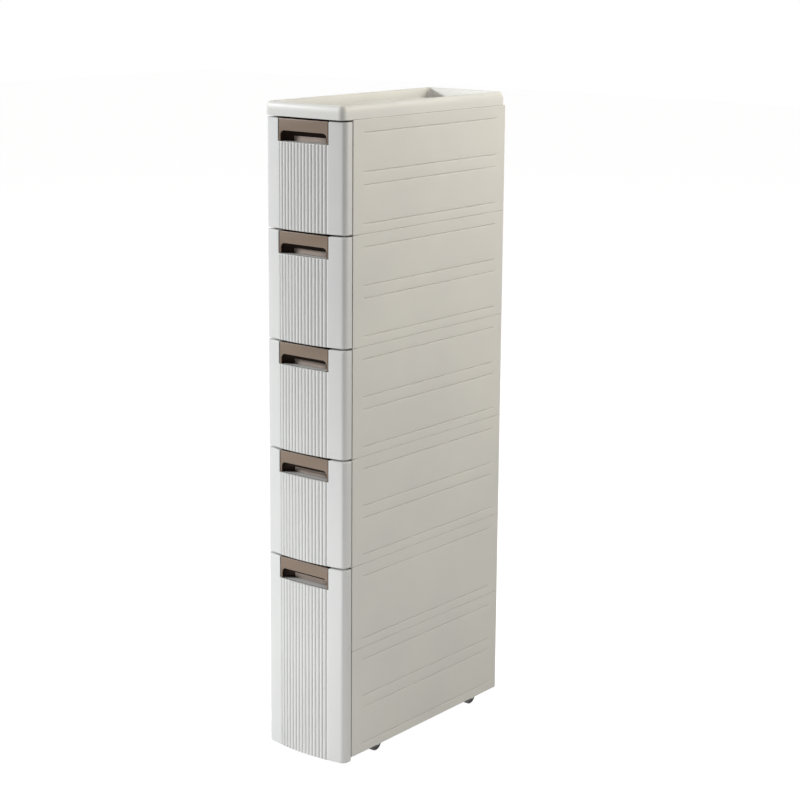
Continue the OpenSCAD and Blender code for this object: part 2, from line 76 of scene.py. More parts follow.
class TOWER_PG_sizes(bpy.types.PropertyGroup):
    """Sizes in millimetres that shape the moulded pieces."""

    edge_radius: bpy.props.FloatProperty(
        name="Edge radius", description="Rounding of the fronts' upper and lower edges, in mm",
        default=1.6, min=0.4, max=2.5)
    handle_edge: bpy.props.FloatProperty(
        name="Handle edge radius", description="Rounding of a handle's edges, in mm",
        default=1.3, min=0.2, max=1.5)
    rib_rise: bpy.props.FloatProperty(
        name="Rib rise", description="How far a rib stands out of the front, in mm",
        default=1.0, min=0.2, max=1.6)
    groove_depth: bpy.props.FloatProperty(
        name="Groove depth", description="How deep the grooves between ribs lie, in mm",
        default=0.9, min=0.0, max=1.2)
    panel_radius: bpy.props.FloatProperty(
        name="Panel edge radius", description="Rounding of a side panel's outer edges, in mm",
        default=0.9, min=0.2, max=2.0)
    line_depth: bpy.props.FloatProperty(
        name="Line depth", description="Depth of the lines pressed into the side panels, in mm",
        default=1.0, min=0.2, max=1.6)
    line_width: bpy.props.FloatProperty(
        name="Line width", description="Width of those lines, in mm", default=2.2, min=1.0, max=5.0)
    lip_depth: bpy.props.FloatProperty(
        name="Lip depth", description="How far the face draws in below each line, in mm",
        default=0.25, min=0.0, max=0.6)


class TOWER_PG_colours(bpy.types.PropertyGroup):
    """Linear colours of the plastics and the steel, and of the pockets' painted shade."""

    front: bpy.props.FloatVectorProperty(
        name="Fronts", description="Drawer fronts", subtype="COLOR", size=3,
        default=(0.80, 0.80, 0.785))
    cabinet: bpy.props.FloatVectorProperty(
        name="Cabinet", description="Side panels, back panels, shelves and base", subtype="COLOR", size=3,
        default=(0.80, 0.79, 0.74))
    lid: bpy.props.FloatVectorProperty(
        name="Lid", description="Lid with the tray", subtype="COLOR", size=3,
        default=(0.84, 0.833, 0.795))
    bin: bpy.props.FloatVectorProperty(
        name="Bins", description="Drawer bins", subtype="COLOR", size=3,
        default=(0.78, 0.775, 0.75))
    handle: bpy.props.FloatVectorProperty(
        name="Handles", description="Bar and arms of a handle", subtype="COLOR", size=3,
        default=(0.25, 0.182, 0.134))
    pocket: bpy.props.FloatVectorProperty(
        name="Pocket linings", description="Lower part of a finger pocket's back", subtype="COLOR", size=3,
        default=(0.59, 0.495, 0.437))
    # painted shade: near-black colour for a pocket's roof, round ends and upper back, where shade falls
    shade: bpy.props.FloatVectorProperty(
        name="Pocket walls", description="Roof, round ends and upper back of a finger pocket",
        subtype="COLOR", size=3, default=(0.03, 0.018, 0.013))
    wheel: bpy.props.FloatVectorProperty(
        name="Casters", description="Forks and wheels", subtype="COLOR", size=3,
        default=(0.21, 0.205, 0.20))
    steel: bpy.props.FloatVectorProperty(
        name="Axles", description="Axle pins", subtype="COLOR", size=3,
        default=(0.6, 0.6, 0.6))


def sizes():
    """The sizes of this scene, in millimetres."""
    return bpy.context.scene.tower_sizes


def colours():
    """The colours of this scene."""
    return bpy.context.scene.tower_colours


# ------------------------------------------------------------------ materials

# Scales of the noises in a moulded plastic: the colour's drift, the roughness and the grain. The
# roughness varies by ROUGH_SPREAD to both sides, and the grain is GRAIN_HEIGHT metres high.
DRIFT_SCALE, ROUGH_SCALE, GRAIN_SCALE = 7.0, 160.0, 900.0
ROUGH_SPREAD = 0.05
GRAIN_HEIGHT = 0.0004
# Samples of the ambient occlusion that paints shade into the plastics
CREVICE_SHADE_SAMPLES = 8
# Scale of the streaks along and across drawn steel, and its lowest and highest roughness
STREAKS = (60, 900, 900)
STEEL_ROUGH = (0.22, 0.4)


def noise(nodes, scale, detail=2.0):
    """Noise texture node of the given scale and detail."""
    made = nodes.new("ShaderNodeTexNoise")
    made.inputs["Scale"].default_value = scale
    made.inputs["Detail"].default_value = detail
    return made


def plastic(name, colour, roughness=0.42, grain=0.015, warm_shift=0.02, crevice_shade=0.2, reach=0.004,
            deep=0.15, open_at=0.85, gloss=0.45):
    """Moulded plastic. The colour drifts slowly by the share warm_shift. Shade is painted into it by
    ambient occlusion: in creases, gaps and hollows it falls to the share given by the crevice argument,
    being full where more than open_at of the space within reach, in metres, is open, and lowest under
    deep. The roughness follows a fine noise, and a finer one is the grain's bump."""
    made = bpy.data.materials.get(name)
    if made:
        return made
    made = bpy.data.materials.new(name)
    made.use_nodes = True
    nodes, links = made.node_tree.nodes, made.node_tree.links
    shader = nodes["Principled BSDF"]
    shader.inputs["Specular IOR Level"].default_value = gloss
    place = nodes.new("ShaderNodeTexCoord")

    drift = noise(nodes, DRIFT_SCALE)
    ramp = nodes.new("ShaderNodeValToRGB")
    low = [c * (1 - warm_shift) for c in colour]
    high = [min(1.0, c * (1 + warm_shift)) for c in colour]
    high[2] = min(1.0, colour[2] * (1 + 0.3 * warm_shift))
    ramp.color_ramp.elements[0].color = (*low, 1)
    ramp.color_ramp.elements[0].position = 0.35
    ramp.color_ramp.elements[1].color = (*high, 1)
    ramp.color_ramp.elements[1].position = 0.65
    links.new(place.outputs["Object"], drift.inputs["Vector"])
    links.new(drift.outputs["Fac"], ramp.inputs["Fac"])

    # painted shade: ambient occlusion darkens the base colour in creases, gaps and hollows, where shade
    # falls
    around = nodes.new("ShaderNodeAmbientOcclusion")
    around.samples = CREVICE_SHADE_SAMPLES
    around.inputs["Distance"].default_value = reach
    shade = nodes.new("ShaderNodeMapRange")
    shade.inputs["From Min"].default_value = deep
    shade.inputs["From Max"].default_value = open_at
    shade.inputs["To Min"].default_value = crevice_shade
    dim = nodes.new("ShaderNodeVectorMath")
    dim.operation = "SCALE"
    links.new(around.outputs["AO"], shade.inputs["Value"])
    links.new(ramp.outputs["Color"], dim.inputs[0])
    links.new(shade.outputs["Result"], dim.inputs["Scale"])
    links.new(dim.outputs["Vector"], shader.inputs["Base Color"])

    fine = noise(nodes, ROUGH_SCALE, 3.0)
    rough = nodes.new("ShaderNodeMapRange")
    rough.inputs["To Min"].default_value = roughness - ROUGH_SPREAD
    rough.inputs["To Max"].default_value = roughness + ROUGH_SPREAD
    links.new(place.outputs["Object"], fine.inputs["Vector"])
    links.new(fine.outputs["Fac"], rough.inputs["Value"])
    links.new(rough.outputs["Result"], shader.inputs["Roughness"])

    grit = noise(nodes, GRAIN_SCALE)
    bump = nodes.new("ShaderNodeBump")
    bump.inputs["Strength"].default_value = grain
    bump.inputs["Distance"].default_value = GRAIN_HEIGHT
    links.new(place.outputs["Object"], grit.inputs["Vector"])
    links.new(grit.outputs["Fac"], bump.inputs["Height"])
    links.new(bump.outputs["Normal"], shader.inputs["Normal"])
    return made


def drawn_steel():
    """Steel whose roughness has fine streaks along X."""
    name = "drawn_steel"
    made = bpy.data.materials.get(name)
    if made:
        return made
    made = bpy.data.materials.new(name)
    made.use_nodes = True
    nodes, links = made.node_tree.nodes, made.node_tree.links
    shader = nodes["Principled BSDF"]
    shader.inputs["Base Color"].default_value = (*colours().steel, 1)
    shader.inputs["Metallic"].default_value = 1.0
    place = nodes.new("ShaderNodeTexCoord")
    stretch = nodes.new("ShaderNodeMapping")
    stretch.inputs["Scale"].default_value = STREAKS
    streaks = noise(nodes, 1.0)
    rough = nodes.new("ShaderNodeMapRange")
    rough.inputs["To Min"].default_value, rough.inputs["To Max"].default_value = STEEL_ROUGH
    links.new(place.outputs["Object"], stretch.inputs["Vector"])
    links.new(stretch.outputs["Vector"], streaks.inputs["Vector"])
    links.new(streaks.outputs["Fac"], rough.inputs["Value"])
    links.new(rough.outputs["Result"], shader.inputs["Roughness"])
    return made


def front_plastic():
    """Plastic of the fronts, with deep painted shade where two fronts or a front and its handle meet."""
    return plastic("moulded_front", colours().front, roughness=0.40, crevice_shade=0.05, reach=0.0035,
                   deep=0.25, open_at=0.85)


def cabinet_plastic():
    """Plastic of the side and back panels, the shelves and the base, with a little painted shade in its
    creases and joints.
    """
    return plastic("moulded_cabinet", colours().cabinet, roughness=0.46, grain=0.02, crevice_shade=0.5)


def lid_plastic():
    """Plastic of the lid, whose painted shade reaches wide and so darkens the tray's foot."""
    return plastic("moulded_lid", colours().lid, roughness=0.42, crevice_shade=0.45, reach=0.03, deep=0.1)


def bin_plastic():
    """Plastic of the drawer bins."""
    return plastic("moulded_bin", colours().bin, roughness=0.38)


def handle_plastic():
    """Plastic of a handle's plate."""
    return plastic("moulded_handle", colours().handle, roughness=0.36, warm_shift=0.03)


def pocket_lining():
    """Dull light plastic of a pocket's lower back, with strong painted shade towards its edges."""
    return plastic("moulded_pocket", colours().pocket, roughness=0.6, warm_shift=0.03, crevice_shade=0.02,
                   reach=0.03, deep=0.25, open_at=0.5, gloss=0.1)


def pocket_shade_wall():
    """Painted shade: a dull near-black plastic on a pocket's roof, ends and upper back, where the pocket
    lies in shade.
    """
    return plastic("pocket_painted_shade", colours().shade, roughness=0.6, crevice_shade=0.3, gloss=0.1)


def caster_plastic():
    """Grainy plastic of the caster forks."""
    return plastic("moulded_caster", colours().wheel, roughness=0.45, grain=0.1)


def wheel_rubber():
    """Rubber of the wheels, a little darker than the forks."""
    return plastic("wheel_tread", tuple(0.8 * c for c in colours().wheel), roughness=0.6, grain=0.15)


def dress(node, material):
    """Gives a CAD node a material of its own kind in all its slots."""
    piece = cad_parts[node]
    if not piece.data.materials:
        piece.data.materials.append(material)
    for i in range(len(piece.data.materials)):
        piece.data.materials[i] = material


# ------------------------------------------------------------------ surfaces


def grid_faces(rows, columns, close_columns):
    """Quads of a grid whose vertex (row, column) has the number row * columns + column."""
    r = np.arange(rows - 1)[:, None]
    c = np.arange(columns if close_columns else columns - 1)[None, :]
    n = (c + 1) % columns
    quads = np.stack([r * columns + c, r * columns + n, (r + 1) * columns + n, (r + 1) * columns + c], -1)
    return quads.reshape(-1, 4).tolist()


def column(rings, capped=True):
    """Closed column: rings is an array (level, point, xyz) whose rings close on themselves, joined by
    quads and, where capped, ended by two flat caps, which are the last two faces."""
    levels, points = rings.shape[:2]
    faces = grid_faces(levels, points, True)
    if capped:
        faces.append(list(range(points))[::-1])
        faces.append([(levels - 1) * points + i for i in range(points)])
    return rings.reshape(-1, 3), faces


def inward(outline):
    """Unit normals that point into a closed outline that runs anticlockwise: the tangent, from the
    points on both sides, turned left by a right angle."""
    before, after = np.roll(outline, 1, 0), np.roll(outline, -1, 0)
    a, b = outline - before, after - outline
    a /= np.linalg.norm(a, axis=1)[:, None] + 1e-12
    b /= np.linalg.norm(b, axis=1)[:, None] + 1e-12
    t = a + b
    t /= np.linalg.norm(t, axis=1)[:, None] + 1e-12
    n = np.stack([-t[:, 1], t[:, 0]], 1)
    # at a corner the offset grows so that both sides move in by the same distance
    stretch = 1.0 / np.clip(np.abs((n * np.stack([-b[:, 1], b[:, 0]], 1)).sum(1)), 0.5, 1.0)
    return n * stretch[:, None]


def quarter(radius, steps, upper):
    """Height and inset of a quarter round. Lower edge: from (0, radius) up to (radius, 0); upper edge:
    the same turned over, measured down from the top."""
    a = np.linspace(0, np.pi / 2, steps)
    height, inset = radius * (1 - np.cos(a)), radius * (1 - np.sin(a))
    return (-height[::-1], inset[::-1]) if upper else (height, inset)


def at_height(outline, z):
    """Points (x, y) of an outline with z as their third coordinate."""
    return np.concatenate([outline, np.full((len(outline), 1), float(z))], 1)


def add_piece(name, shells, body, materials, nodes, sharp=32.0):
    """One object from shells (points in mm, faces, material number); merges, turns faces outwards and
    shades smooth up to the angle sharp."""
    points, faces, index = [], [], []
    start = 0
    for verts, quads, number in shells:
        points.append(np.asarray(verts, float))
        faces += [[start + i for i in f] for f in quads]
        index += [number] * len(quads)
        start += len(verts)
    mesh = bpy.data.meshes.new(name)
    mesh.from_pydata((np.concatenate(points) * MM).tolist(), [], faces)
    mesh.polygons.foreach_set("material_index", index)
    work = bmesh.new()
    work.from_mesh(mesh)
    bmesh.ops.remove_doubles(work, verts=work.verts, dist=2e-6)
    bmesh.ops.recalc_face_normals(work, faces=work.faces)
    work.to_mesh(mesh)
    work.free()
    mesh.shade_smooth()
    mesh.set_sharp_from_angle(angle=math.radians(sharp))
    piece = bpy.data.objects.new(name, mesh)
    bpy.context.scene.collection.objects.link(piece)
    for material in materials:
        mesh.materials.append(material)
    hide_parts(*nodes)
    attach(piece, body)


# ------------------------------------------------------------------ drawer fronts

# The front's plan, as the CAD has it: an arc of radius BOW_R about (0, BOW_Y) through both upright
# edges, with round corners of radius FRONT_R. A front's back lies FRONT_GAP before the cabinet's edge.
SIDE_D, BOW, BOW_INSET, FRONT_R, FRONT_GAP = 21.0, 8.5, 6.0, 11.0, 2.5
BOW_HALF = HALF_W - BOW_INSET
BOW_R = (BOW_HALF**2 + BOW**2) / (2 * BOW)
BOW_Y = EDGE_Y + BOW_R - SIDE_D - BOW
FRONT_BACK = EDGE_Y - FRONT_GAP
# The niche holds the handle, with this gap on each side of it, and is HANDLE_H high
HANDLE_GAP, HANDLE_H = 1.0, 39.5
NICHE_HALF = corners_of("drawer_handle_1")[1][0] + HANDLE_GAP
NICHE_ANGLE = math.asin(NICHE_HALF / BOW_R)
RIBS, RIB_PITCH, RUN_OUT = 14, 7.56, 0.8
# A front's lower edge stays this much above the solid's, so that the joint below it shows
SEAM_LIFT = 0.5
# Width of the round on a pillar's upright edge beside the niche
NICHE_ROUND = 0.9
# Points along a corner, a smooth strip, a rib and both run-outs together
CORNER_STEPS, STRIP_STEPS, RIB_STEPS, RUN_OUT_STEPS = 14, 10, 18, 9
# Length of the straight stretch before a corner, and of the one beside a round edge
CORNER_LEAD, EDGE_LEAD = 4.0, 0.4


def bow_height(s):
    """How far the front stands out of the bow at arc length s. Each rib is an arc of a circle from
    valley to valley, and the groove beyond the last rib runs out within RUN_OUT."""
    half = RIBS * RIB_PITCH / 2
    t = s / RIB_PITCH + 0.5 * (RIBS % 2 == 0)
    t = (t - np.round(t)) * RIB_PITCH
    rise, depth = sizes().rib_rise, sizes().groove_depth
    sag = rise + depth
    r = (RIB_PITCH**2 / 4 + sag**2) / (2 * sag)
    wave = rise - r + np.sqrt(r * r - t * t)
    run_out = np.clip((np.abs(s) - half) / RUN_OUT, 0, 1)
    return np.where(np.abs(s) < half, wave, -depth * (1 - run_out) ** 1.5)


def bow_points(angles):
    """Points of the bow, with its ribs, at angles about the bow's centre."""
    r = BOW_R + bow_height(BOW_R * angles)
    return np.stack([r * np.sin(angles), BOW_Y - r * np.cos(angles)], 1)


def bow_angles(tangent):
    """Rising angles of the bow's points between the corners, which end at the angle tangent: even
    over the ribs, with one in each valley and at both sides of the niche, and few on the strips."""
    ribs_end = (RIBS * RIB_PITCH / 2 + RUN_OUT) / BOW_R
    ribbed = np.linspace(-ribs_end, ribs_end, RIBS * RIB_STEPS + RUN_OUT_STEPS)
    valleys = (np.arange(RIBS + 1) - RIBS / 2) * RIB_PITCH / BOW_R
    strip = np.linspace(NICHE_ANGLE, tangent, STRIP_STEPS)[:-1]
    return np.unique(np.round(np.concatenate([-strip, ribbed, valleys, strip]), 9))


def right_side():
    """Plan of the right-hand side from the bow round the corner to the back, and the angle at which
    the corner leaves the bow."""
    x = HALF_W - FRONT_R
    y = BOW_Y - math.sqrt((BOW_R - FRONT_R) ** 2 - x * x)
    end = math.atan2(y - BOW_Y, x)
    a = np.linspace(end, 0, CORNER_STEPS)
    corner = np.stack([x + FRONT_R * np.cos(a), y + FRONT_R * np.sin(a)], 1)
    straight = [[HALF_W, corner[-1, 1] + CORNER_LEAD], [HALF_W, FRONT_BACK]]
    return np.concatenate([corner, straight]), math.pi / 2 + end


def front_outline():
    """Plan of a front below its ledge, anticlockwise from the left back corner over the bow."""
    side, tangent = right_side()
    back = [[NICHE_HALF, FRONT_BACK], [0.0, FRONT_BACK], [-NICHE_HALF, FRONT_BACK]]
    return np.concatenate([side[::-1] * [-1, 1], bow_points(bow_angles(tangent)), side, back])


def pillar_outline(hand):
    """Plan of the pillar to the right (hand 1) or left (hand -1) of the niche, anticlockwise. Three
    points stand for the quarter round on its edge beside the niche."""
    side, tangent = right_side()
    angles = bow_angles(tangent)
    strip = bow_points(angles[angles > NICHE_ANGLE - 1e-6])
    soft = strip[0] + NICHE_ROUND * np.array([[0, 1], [0.3, 0.3], [1, 0]])
    ring = np.concatenate([strip[1:], side, [[NICHE_HALF, FRONT_BACK]], soft])
    return ring if hand > 0 else ring[::-1] * [-1, 1]


def inward_but_back(outline):
    """Inward normals that leave the flat back of a front where it is."""
    turn = inward(outline)
    turn[outline[:, 1] > FRONT_BACK - 0.01, 1] = 0
    return turn


def front_shells(low, high):
    """The front between the heights low and high: a column over the plan up to the ledge, and a column
    on each side of the niche, with round lower and upper edges and a round front edge on the ledge."""
    radius = sizes().edge_radius
    ledge = high - HANDLE_H
    below, above = list(zip(*quarter(radius, 7, False))), list(zip(*quarter(radius, 6, True)))
    outline = front_outline()
    turn = inward_but_back(outline)
    levels = [at_height(outline + e * turn, low + h) for h, e in below]
    levels += [at_height(outline, z) for z in (low + radius + EDGE_LEAD, ledge - radius - EDGE_LEAD)]
    turn[(np.abs(outline[:, 0]) > NICHE_HALF - 0.1) | (outline[:, 1] > FRONT_BACK - 0.01)] = 0
    levels += [at_height(outline + e * turn, ledge + h) for h, e in above]
    shells = [(*column(np.array(levels)), 0)]
    for hand in (1, -1):
        outline = pillar_outline(hand)
        turn = inward_but_back(outline)
        levels = [at_height(outline, z) for z in (ledge, ledge + EDGE_LEAD, high - radius - EDGE_LEAD)]
        levels += [at_height(outline + e * turn, high + h) for h, e in above]
        shells.append((*column(np.array(levels)), 0))
    return shells


class TOWER_OT_fronts(bpy.types.Operator):
    """Bowed drawer fronts with upright ribs, a niche and round edges"""

    bl_idname = "tower.fronts"
    bl_label = "Drawer fronts"

    def execute(self, context):
        for n in range(1, BAYS + 1):
            node = f"drawer_front_{n}"
            low, high = corners_of(node)
            add_piece(f"front_{n}", front_shells(low[2] + SEAM_LIFT, high[2]), f"drawer_{n}",
                      [front_plastic()], [node], sharp=50)
        return {"FINISHED"}


# ------------------------------------------------------------------ handles

# Thickness of plate and pocket, the finger slot's height above the ledge, width of the arms beside it
HANDLE_T, SLOT_H, ARM_W = 2.4, 18.5, 3.5
# Radii of the slot's and the plate's upper corners and of the pocket's inner corners
SLOT_R, PLATE_R, POCKET_R = 8.0, 1.2, 17.0
# Clearance of the handle above the ledge, and of plate and pocket inside the solid's sides and back
CLEARANCE = 0.2
# How far the pocket is sunk into the plate, set in beside it, and straight before its corners
POCKET_SEAT, POCKET_INSET, POCKET_LEAD = 0.05, 0.1, 0.1
# The light lining of the pocket's back: half its width, and how far its top is below the slot's. Beside
# and above it the pocket's back is painted in shade
LINING_HALF, LINING_DROP = 36.0, 9.5
# How far the roof keeps inside the pocket's wall, and the tops of wall and roof below the plate's
ROOF_INSET, WALL_DROP, ROOF_DROP = 0.3, 0.3, 0.25


def arc(cx, cy, r, start, end, steps, r_y=None):
    """Arc of a circle of radius r about (cx, cy), or of an ellipse with the second radius r_y."""
    a = np.radians(np.linspace(start, end, steps))
    return np.stack([cx + r * np.cos(a), cy + (r_y or r) * np.sin(a)], 1)


def plate_outline(half, slot, low, high, slot_top):
    """Front view of the plate, anticlockwise: an upside-down U with round corners. It is half wide on
    each side, and its slot is slot wide on each side and reaches up to slot_top."""
    return np.concatenate([
        [[half, low]],
        arc(half - PLATE_R, high - PLATE_R, PLATE_R, 0, 90, 5),
        arc(PLATE_R - half, high - PLATE_R, PLATE_R, 90, 180, 5),
        [[-half, low], [-slot, low]],
        arc(SLOT_R - slot, slot_top - SLOT_R, SLOT_R, 180, 90, 10),
        arc(slot - SLOT_R, slot_top - SLOT_R, SLOT_R, 90, 0, 10),
        [[slot, low]]])


def pocket_outline(half, front, radius, depth):
    """Plan of a face of the pocket, a U from the right front end over two quarter ellipses and the flat
    back to the left front end. The ellipses are radius wide and depth deep."""
    start = front + POCKET_LEAD
    return np.concatenate([
        [[half, front]],
        arc(half - radius, start, radius, 0, 90, 16, depth),
        [[LINING_HALF, start + depth], [-LINING_HALF, start + depth]],
        arc(radius - half, start, radius, 90, 180, 16, depth),
        [[-half, front]]])


def handle_shells(low, high):
    """Plate carried along Y, with round front edges. Pocket: a wall of U-shaped plan carried upwards,
    and a roof."""
    face, back, z0, z1 = low[1], high[1], low[2], high[2]
    half = high[0] - CLEARANCE
    slot_top = z0 - CLEARANCE + SLOT_H
    plate = plate_outline(half, high[0] - ARM_W, z0, z1, slot_top)
    turn = inward(plate)
    steps = [*zip(*quarter(sizes().handle_edge, 6, False)), (HANDLE_T, 0.0)]
    rings = np.array([at_height(plate + e * turn, face + y) for y, e in steps])
    shells = [(*column(rings[:, :, [0, 2, 1]]), 0)]

    front, end = face + HANDLE_T - POCKET_SEAT, half - POCKET_INSET
    depth = back - front - CLEARANCE
    outer_r = POCKET_R + 1.0
    wall = np.concatenate([
        pocket_outline(end, front, outer_r, depth),
        pocket_outline(end - HANDLE_T, front, POCKET_R, back - front - HANDLE_T)[::-1]])
    # the lower flat back of the pocket has the light lining; all the rest is painted shade, a near-black
    # colour where the pocket lies in shade
    lining_top = slot_top - LINING_DROP
    points, faces = column(np.array([at_height(wall, z) for z in (z0, lining_top, z1 - WALL_DROP)]))
    quads = np.array(faces[:-2])
    beside = np.abs(points[quads][:, :, 0]).max(1) > LINING_HALF
    over = points[quads][:, :, 2].max(1) > lining_top + 0.01
    painted_shade = beside | over
    shells.append((points, quads[~painted_shade].tolist(), 1))
    shells.append((points, quads[painted_shade].tolist() + faces[-2:], 2))
    roof = pocket_outline(end - ROOF_INSET, front, outer_r, depth - ROOF_INSET)
    ends = (z1 - CLEARANCE - HANDLE_T, z1 - ROOF_DROP)
    shells.append((*column(np.array([at_height(roof, z) for z in ends])), 2))
    return shells


class TOWER_OT_handles(bpy.types.Operator):
    """Brown handle inserts with a finger slot and a pocket behind it"""

    bl_idname = "tower.handles"
    bl_label = "Handles"

    def execute(self, context):
        for n in range(1, BAYS + 1):
            node = f"drawer_handle_{n}"
            low, high = corners_of(node)
            add_piece(f"handle_{n}", handle_shells(low, high), f"drawer_{n}",
                      [handle_plastic(), pocket_lining(), pocket_shade_wall()], [node])
        return {"FINISHED"}


# ------------------------------------------------------------------ lid

# The tray's floor above the lid's lower edge, the rim's width, the wall's thickness
TRAY_FLOOR, RIM_W, LID_T = 5.5, 9.0, 2.5
# Width and height of the round upper edge, radii of the corners, of the tray's corners, of the rim's
# inner edge and of the tray's foot
LID_EDGE_W, LID_EDGE_H, LID_CORNER_R, LID_BACK_R, TRAY_R = 6.0, 15.0, 12.0, 7.5, 8.0
RIM_INNER_R, TRAY_FOOT_R = 1.6, 2.5
# The locating rim below: half its width, its ends from the cabinet's edge, its reach down and up, and
# the chamfer of its lower edge
KEY_HALF, KEY_FRONT, KEY_BACK, KEY_DROP, KEY_RISE, KEY_EDGE = 80.8, 2.0, 429.0, 7.0, 3.2, 0.4


def rounded(x, y0, y1, front_r, back_r, steps=10):
    """Rounded rectangle from -x to x and y0 to y1, anticlockwise, the same number of points whatever
    the radii."""
    return np.concatenate([
        arc(-x + front_r, y0 + front_r, front_r, 180, 270, steps),
        arc(x - front_r, y0 + front_r, front_r, 270, 360, steps),
        [[x, EDGE_Y - 0.01], [x, EDGE_Y + 0.01]],
        arc(x - back_r, y1 - back_r, back_r, 0, 90, steps),
        arc(-x + back_r, y1 - back_r, back_r, 90, 180, steps),
        [[-x, EDGE_Y + 0.01], [-x, EDGE_Y - 0.01]]])


def lid_path(tall):
    """Section of the lid as (inset, height): inner side and foot of the wall, outer wall, upper edge as
    a quarter ellipse, rim, its round inner edge, sloping tray wall and round foot of the tray."""
    # the first points: up the wall's inner side, under it, and round its outer foot
    path = [(LID_T, 3.0), (LID_T, 1.0), (LID_T, 0.1), (0.7, 0.1), (0.2, 0.25), (0.0, 0.8), (0.0, 1.3),
            (0.0, tall - LID_EDGE_H - 0.5)]
    a = np.linspace(0, np.pi / 2, 12)
    path += zip(LID_EDGE_W * (1 - np.cos(a)), tall - LID_EDGE_H + LID_EDGE_H * np.sin(a))
    rim_end = RIM_W - RIM_INNER_R
    path += [(rim_end - 0.1, tall)]
    a = np.linspace(0, np.pi / 2 - 0.12, 6)[1:]
    path += zip(rim_end + RIM_INNER_R * np.sin(a), tall - RIM_INNER_R + RIM_INNER_R * np.cos(a))
    path += [(RIM_W + 0.3, tall - 2.5)]
    a = np.linspace(0.1, np.pi / 2, 7)
    path += zip(RIM_W + 1.0 + TRAY_FOOT_R * (1 - np.cos(a)), TRAY_FLOOR + TRAY_FOOT_R * (1 - np.sin(a)))
    return path


def lid_shells(low, high):
    """Rounded rectangles set in along the lid's section, whose radii change from the outer corners' to
    the tray's over the rim, and a rectangular locating rim below."""
    half, y0, y1, base = high[0], low[1], high[1], low[2] + KEY_DROP
    rings = []
    for e, h in lid_path(high[2] - base):
        share = np.clip((e - LID_EDGE_W) / (RIM_W - LID_EDGE_W), 0, 1)
        front_r, back_r = [(r - min(e, LID_EDGE_W)) * (1 - share) + TRAY_R * share
                           for r in (LID_CORNER_R, LID_BACK_R)]
        rings.append(at_height(rounded(half - e, y0 + e, y1 - e, front_r, back_r), base + h))
    shells = [(*column(np.array(rings)), 0)]

    def frame_ring(inset, height):
        x, front, back = KEY_HALF - inset, EDGE_Y + KEY_FRONT + inset, EDGE_Y + KEY_BACK - inset
        return at_height(np.array([[-x, front], [x, front], [x, back], [-x, back]]), base + height)

    section = ((0, KEY_RISE), (0, KEY_EDGE - KEY_DROP), (KEY_EDGE, -KEY_DROP),
               (LID_T - KEY_EDGE, -KEY_DROP), (LID_T, KEY_EDGE - KEY_DROP), (LID_T, KEY_RISE),
               (0, KEY_RISE))
    rings = np.array([frame_ring(e, h) for e, h in section])
    shells.append((*column(rings, capped=False), 0))
    return shells


class TOWER_OT_lid(bpy.types.Operator):
    """Lid with a round upper edge and a recessed tray"""

    bl_idname = "tower.lid"
    bl_label = "Lid"

    def execute(self, context):
        low, high = corners_of("lid")
        add_piece("lid_shell", lid_shells(low, high), "cabinet", [lid_plastic()], ["lid"],
                  sharp=40)
        return {"FINISHED"}


# ------------------------------------------------------------------ side panels

# Distances of the outer pressed lines from a panel's upper and lower edge and between the middle two,
# and of the lines' ends from its front and back edge
FIELD_TOP, FIELD_BETWEEN, FIELD_BOTTOM = 24.0, 22.5, 16.0
FIELD_FRONT, FIELD_BACK = 28.0, 27.0
# A pressed line lies this much above the middle of its groove in the solid, the lip below it is this
# wide, and both run out over this length
LINE_SHIFT, LIP_W, LINE_END = 1.2, 4.0, 6.0
# A panel lower than this has only the outer two lines
LOW_PANEL = 180.0
# Thickness of the flange round a panel, how far flange, ribs and wall reach inwards from the outer
# face, and half a rib's thickness
FLANGE_T, FLANGE_D, RIB_D, WALL_D, RIB_HALF = 3.0, 9.0, 7.0, 3.0, 1.0
# How much the seams between panels draw back, everywhere and more at the front edge, and how far
# the latter reaches
SEAM_BACK, SEAM_FRONT, SEAM_REACH = 0.06, 0.24, 13.0
# Width of a step in the inner face, and the widest gap between points along Y and Z
STEP, WIDEST_Y, WIDEST_Z = 0.02, 30.0, 14.0


def smooth(t):
    """Smooth step from 0 to 1 over t from 0 to 1."""
    t = np.clip(t, 0, 1)
    return t * t * (3 - 2 * t)


def panel_lines(height):
    """Heights of the pressed lines, from the panel's lower edge."""
    low, high = FIELD_BOTTOM, height - FIELD_TOP
    if height < LOW_PANEL:
        return [low, high]
    band = (high - low - FIELD_BETWEEN) / 2
    return [low, low + band, high - band, high]


def spread(marks, widest):
    """Sorted positions that hit every mark, with no gap over widest."""
    marks = np.unique(np.round(marks, 4))
    parts = [np.linspace(a, b, max(2, int(np.ceil((b - a) / widest)) + 1))[:-1]
             for a, b in zip(marks[:-1], marks[1:])]
    return np.concatenate(parts + [marks[-1:]])


